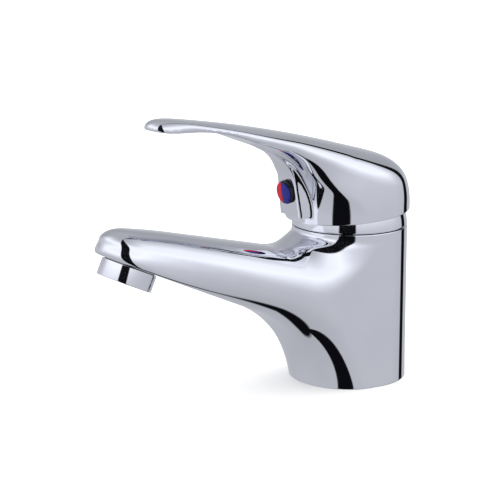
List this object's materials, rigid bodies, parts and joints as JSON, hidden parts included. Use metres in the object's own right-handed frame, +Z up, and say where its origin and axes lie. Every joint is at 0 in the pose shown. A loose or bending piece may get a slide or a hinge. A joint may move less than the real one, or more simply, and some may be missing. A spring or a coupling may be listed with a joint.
{
  "type": "bathroom mixer faucet",
  "caption": "Single-lever basin mixer: round barrel body with a long tapering spout, domed handle with a forward lever, hot and cold mark, ceramic-disc cartridge and screw-in aerator.",
  "frame": {"origin": "centre of the flat foot, on the basin's deck", "axes": "+Z up, the spout and lever point along -Y, +X is the user's right, the cold side"},
  "size_m": [0.0548, 0.1578, 0.1275],
  "materials": {
    "chrome": "polished",
    "brass": "machined",
    "steel": "machined",
    "rubber": "matte",
    "ceramic": "lapped",
    "white_plastic": "moulded",
    "grey_plastic": "moulded",
    "blue_plastic": "moulded",
    "red_plastic": "moulded",
    "black_plastic": "gloss",
    "hot_red": "gloss",
    "cold_blue": "gloss"
  },
  "bodies": {
    "root": {"body": "chrome", "bonnet_ring": "chrome", "aerator_housing": "chrome", "base_gasket": "rubber", "hot_inlet_seal": "rubber", "cold_inlet_seal": "rubber", "outlet_seal": "rubber", "disc_seal": "rubber", "housing_o_ring": "rubber", "aerator_washer": "rubber", "retaining_nut": "brass", "cartridge_base": "white_plastic", "cartridge_housing": "white_plastic", "aerator_core": "white_plastic", "aerator_screen": "grey_plastic", "fixed_disc": "ceramic"},
    "turret": {"turret": "grey_plastic", "pivot_pin": "steel", "limit_ring": "red_plastic"},
    "handle": {"handle_lever": "chrome", "spindle": "brass", "handle_screw": "steel", "indicator_plug": "black_plastic", "hot_marker": "hot_red", "cold_marker": "cold_blue"},
    "disc": {"moving_disc": "ceramic", "disc_carrier": "blue_plastic"}
  },
  "joints": [
    {"name": "temperature_swing", "type": "hinge", "parent": "root", "child": "turret", "pos_m": [0, 0, 0.0705], "axis": [0, 0, 1], "range_deg": [-45, 45]},
    {"name": "flow_lift", "type": "hinge", "parent": "turret", "child": "handle", "pos_m": [0, 0, 0.0705], "axis": [-1, 0, 0], "range_deg": [0, 25]},
    {"name": "disc_slide", "type": "slide", "parent": "turret", "child": "disc", "axis": [0, -1, 0], "range_m": [0, 0.00417]}
  ],
  "couplings": [
    {"joint": "disc_slide", "follows": "flow_lift", "m_per_rad": 0.009515}
  ]
}
